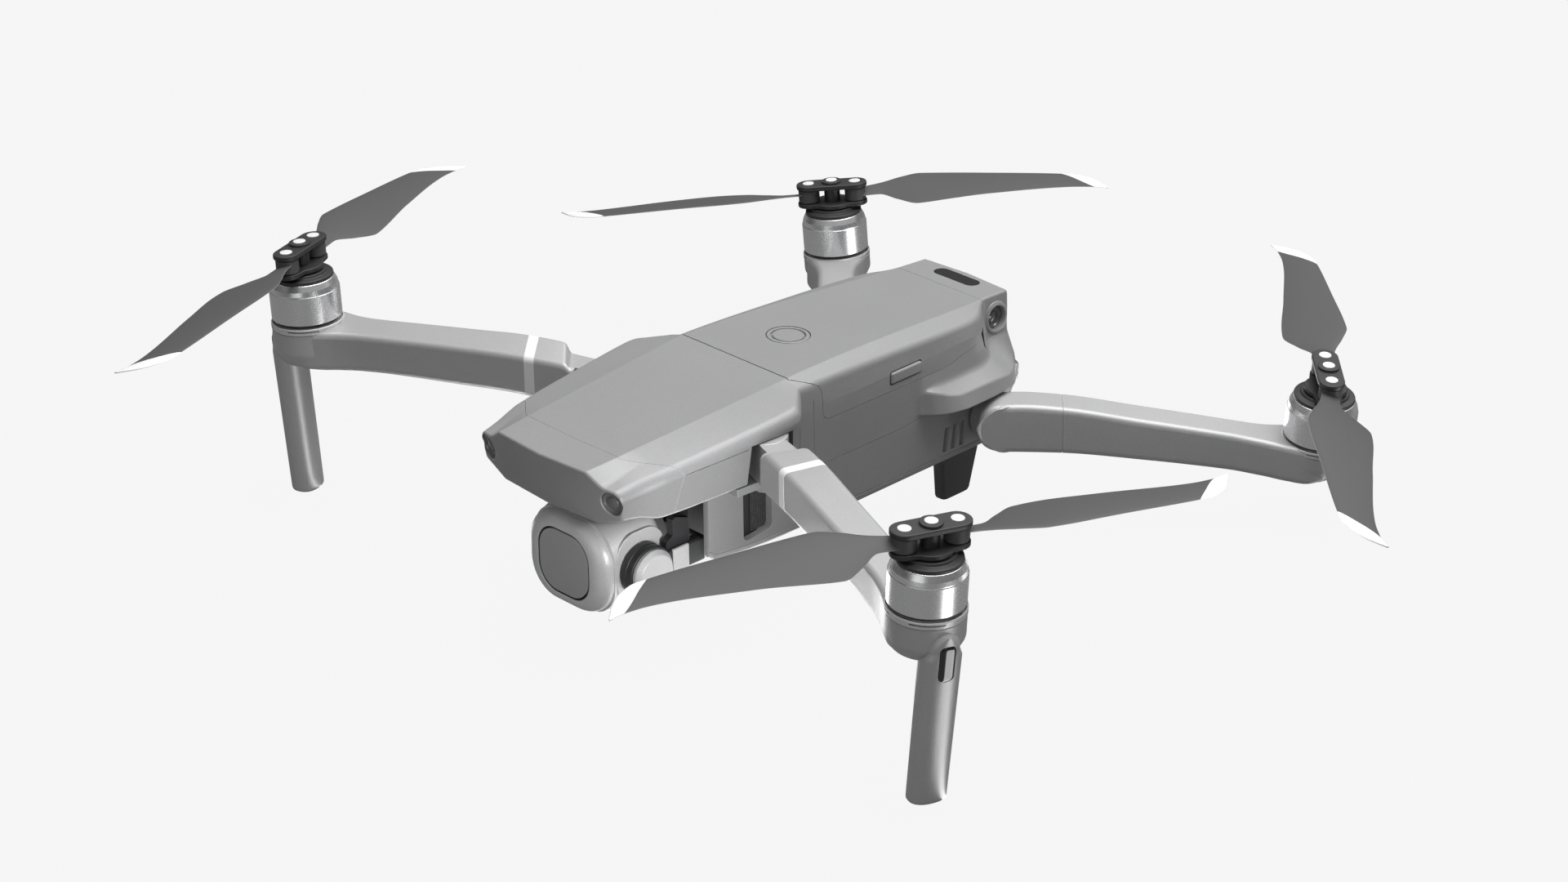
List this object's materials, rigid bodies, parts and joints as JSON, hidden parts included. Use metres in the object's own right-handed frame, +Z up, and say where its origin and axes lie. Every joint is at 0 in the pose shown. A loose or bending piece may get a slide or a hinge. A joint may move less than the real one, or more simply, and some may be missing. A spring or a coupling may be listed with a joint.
{
  "type": "folding quadcopter camera drone",
  "caption": "Folding camera drone with hinged arms, folding propeller blades, landing legs and a stabilised camera under the nose.",
  "frame": {"origin": "on the ground, under the middle of the box around the unfolded drone and its propeller tips", "axes": "+Z up, nose towards -Y, the drone's left side towards +X"},
  "size_m": [0.3966, 0.4006, 0.0935],
  "materials": {
    "shell_grey": "satin moulded plastic with a fine grain",
    "deck_grey": "satin moulded plastic with a fine grain",
    "arm_grey": "satin moulded plastic with a fine grain",
    "dark_plastic": "dark moulded plastic",
    "black_gloss": "black gloss window",
    "blade_grey": "matte dark plastic with pale tips",
    "hub_black": "matte near-black plastic",
    "bell_metal": "turned satin aluminium",
    "screw_white": "pale screw heads",
    "camera_grey": "satin painted metal",
    "gimbal_black": "matte black",
    "lens_glass": "coated glass",
    "rubber": "soft rubber",
    "pin_steel": "ground steel",
    "board_green": "circuit board",
    "winding_copper": "copper winding"
  },
  "bodies": {
    "root": {"upper_shell": "deck_grey", "nose_cap": "deck_grey", "lower_shell": "shell_grey", "battery_pack": "deck_grey", "tail_cap": "deck_grey", "top_window": "black_gloss", "vision_lenses": "black_gloss", "belly_plate": "dark_plastic", "rear_feet": "dark_plastic", "intake_grilles": "dark_plastic", "main_board": "board_green", "cooling_fan": "dark_plastic", "arm_hinge_pins": "pin_steel", "gimbal_plate": "gimbal_black", "gimbal_dampers": "rubber"},
    "power_button": {"power_button": "deck_grey"},
    "battery_clip_left": {"battery_clip_left": "deck_grey"},
    "battery_clip_right": {"battery_clip_right": "deck_grey"},
    "gimbal_yaw": {"yaw_arm": "gimbal_black"},
    "gimbal_roll": {"roll_arm": "gimbal_black", "tilt_motor_cap": "camera_grey"},
    "camera": {"camera_housing": "camera_grey", "camera_bezel": "gimbal_black", "camera_glass": "lens_glass"},
    "front_arm_left": {"front_arm_left": "arm_grey", "front_leg_left": "arm_grey", "leg_lamp_left": "black_gloss", "motor_stator_front_left": "winding_copper"},
    "rear_arm_left": {"rear_arm_left": "arm_grey", "rear_lamp_left": "black_gloss", "motor_stator_rear_left": "winding_copper"},
    "rotor_front_left": {"motor_bell_front_left": "bell_metal", "prop_hub_front_left": "hub_black", "hub_screws_front_left": "screw_white"},
    "blade_front_left_a": {"blade_front_left_a": "blade_grey"},
    "blade_front_left_b": {"blade_front_left_b": "blade_grey"},
    "rotor_rear_left": {"motor_bell_rear_left": "bell_metal", "prop_hub_rear_left": "hub_black", "hub_screws_rear_left": "screw_white"},
    "blade_rear_left_a": {"blade_rear_left_a": "blade_grey"},
    "blade_rear_left_b": {"blade_rear_left_b": "blade_grey"},
    "front_arm_right": {"front_arm_right": "arm_grey", "front_leg_right": "arm_grey", "leg_lamp_right": "black_gloss", "motor_stator_front_right": "winding_copper"},
    "rear_arm_right": {"rear_arm_right": "arm_grey", "rear_lamp_right": "black_gloss", "motor_stator_rear_right": "winding_copper"},
    "rotor_front_right": {"motor_bell_front_right": "bell_metal", "prop_hub_front_right": "hub_black", "hub_screws_front_right": "screw_white"},
    "blade_front_right_a": {"blade_front_right_a": "blade_grey"},
    "blade_front_right_b": {"blade_front_right_b": "blade_grey"},
    "rotor_rear_right": {"motor_bell_rear_right": "bell_metal", "prop_hub_rear_right": "hub_black", "hub_screws_rear_right": "screw_white"},
    "blade_rear_right_a": {"blade_rear_right_a": "blade_grey"},
    "blade_rear_right_b": {"blade_rear_right_b": "blade_grey"}
  },
  "joints": [
    {"name": "power_button_press", "type": "slide", "parent": "root", "child": "power_button", "axis": [0, 0, -1], "range_m": [0, 0.0008], "stiffness_N_per_m": 600},
    {"name": "gimbal_yaw_turn", "type": "hinge", "parent": "root", "child": "gimbal_yaw", "pos_m": [0, -0.06957, 0.044], "axis": [0, 0, 1], "range_deg": [-13, 13]},
    {"name": "gimbal_roll_turn", "type": "hinge", "parent": "gimbal_yaw", "child": "gimbal_roll", "pos_m": [0, -0.07397, 0.029], "axis": [0, 1, 0], "range_deg": [-10, 10]},
    {"name": "camera_tilt", "type": "hinge", "parent": "gimbal_roll", "child": "camera", "pos_m": [0.019, -0.09856, 0.029], "axis": [-1, 0, 0], "range_deg": [-90, 30]},
    {"name": "battery_clip_left_press", "type": "slide", "parent": "root", "child": "battery_clip_left", "axis": [-1, 0, 0], "range_m": [0, 0.0015], "stiffness_N_per_m": 400},
    {"name": "rear_arm_left_fold", "type": "hinge", "parent": "root", "child": "rear_arm_left", "pos_m": [0.04, 0.05144, 0.036], "axis": [-0.9351, 0.3545, 0], "range_deg": [0, 172]},
    {"name": "front_arm_left_fold", "type": "hinge", "parent": "root", "child": "front_arm_left", "pos_m": [0.0355, -0.05797, 0.061], "axis": [0, 0, 1], "range_deg": [0, 100]},
    {"name": "rotor_front_left_spin", "type": "hinge", "parent": "front_arm_left", "child": "rotor_front_left", "pos_m": [0.1482, -0.09986, 0.0662], "axis": [0.0635, 0, 0.998], "continuous": true},
    {"name": "blade_front_left_a_swing", "type": "hinge", "parent": "rotor_front_left", "child": "blade_front_left_a", "pos_m": [0.15265, -0.09162, 0.08776], "axis": [-0.0635, 0, -0.998], "range_deg": [-90, 90]},
    {"name": "blade_front_left_b_swing", "type": "hinge", "parent": "rotor_front_left", "child": "blade_front_left_b", "pos_m": [0.14652, -0.10811, 0.08815], "axis": [0.0635, 0, 0.998], "range_deg": [-90, 90]},
    {"name": "rotor_rear_left_spin", "type": "hinge", "parent": "rear_arm_left", "child": "rotor_rear_left", "pos_m": [0.117, 0.12964, 0.0303], "axis": [0.0958, 0, 0.9954], "continuous": true},
    {"name": "blade_rear_left_a_swing", "type": "hinge", "parent": "rotor_rear_left", "child": "blade_rear_left_a", "pos_m": [0.11279, 0.13575, 0.05261], "axis": [-0.0958, 0, -0.9954], "range_deg": [-90, 90]},
    {"name": "blade_rear_left_b_swing", "type": "hinge", "parent": "rotor_rear_left", "child": "blade_rear_left_b", "pos_m": [0.12539, 0.12352, 0.05139], "axis": [0.0958, 0, 0.9954], "range_deg": [-90, 90]},
    {"name": "battery_clip_right_press", "type": "slide", "parent": "root", "child": "battery_clip_right", "axis": [1, 0, 0], "range_m": [0, 0.0015], "stiffness_N_per_m": 400},
    {"name": "rear_arm_right_fold", "type": "hinge", "parent": "root", "child": "rear_arm_right", "pos_m": [-0.04, 0.05144, 0.036], "axis": [-0.9351, -0.3545, 0], "range_deg": [0, 172]},
    {"name": "front_arm_right_fold", "type": "hinge", "parent": "root", "child": "front_arm_right", "pos_m": [-0.0355, -0.05797, 0.061], "axis": [0, 0, -1], "range_deg": [0, 100]},
    {"name": "rotor_front_right_spin", "type": "hinge", "parent": "front_arm_right", "child": "rotor_front_right", "pos_m": [-0.1482, -0.09986, 0.0662], "axis": [0.0635, 0, -0.998], "continuous": true},
    {"name": "blade_front_right_a_swing", "type": "hinge", "parent": "rotor_front_right", "child": "blade_front_right_a", "pos_m": [-0.15265, -0.09162, 0.08776], "axis": [-0.0635, 0, 0.998], "range_deg": [-90, 90]},
    {"name": "blade_front_right_b_swing", "type": "hinge", "parent": "rotor_front_right", "child": "blade_front_right_b", "pos_m": [-0.14652, -0.10811, 0.08815], "axis": [0.0635, 0, -0.998], "range_deg": [-90, 90]},
    {"name": "rotor_rear_right_spin", "type": "hinge", "parent": "rear_arm_right", "child": "rotor_rear_right", "pos_m": [-0.117, 0.12964, 0.0303], "axis": [0.0958, 0, -0.9954], "continuous": true},
    {"name": "blade_rear_right_a_swing", "type": "hinge", "parent": "rotor_rear_right", "child": "blade_rear_right_a", "pos_m": [-0.11279, 0.13575, 0.05261], "axis": [-0.0958, 0, 0.9954], "range_deg": [-90, 90]},
    {"name": "blade_rear_right_b_swing", "type": "hinge", "parent": "rotor_rear_right", "child": "blade_rear_right_b", "pos_m": [-0.12539, 0.12352, 0.05139], "axis": [0.0958, 0, -0.9954], "range_deg": [-90, 90]}
  ],
  "couplings": [
    {"joint": "front_arm_left_fold", "follows": "rear_arm_left_fold", "ratio": 0.5813},
    {"joint": "front_arm_right_fold", "follows": "rear_arm_right_fold", "ratio": 0.5813}
  ]
}
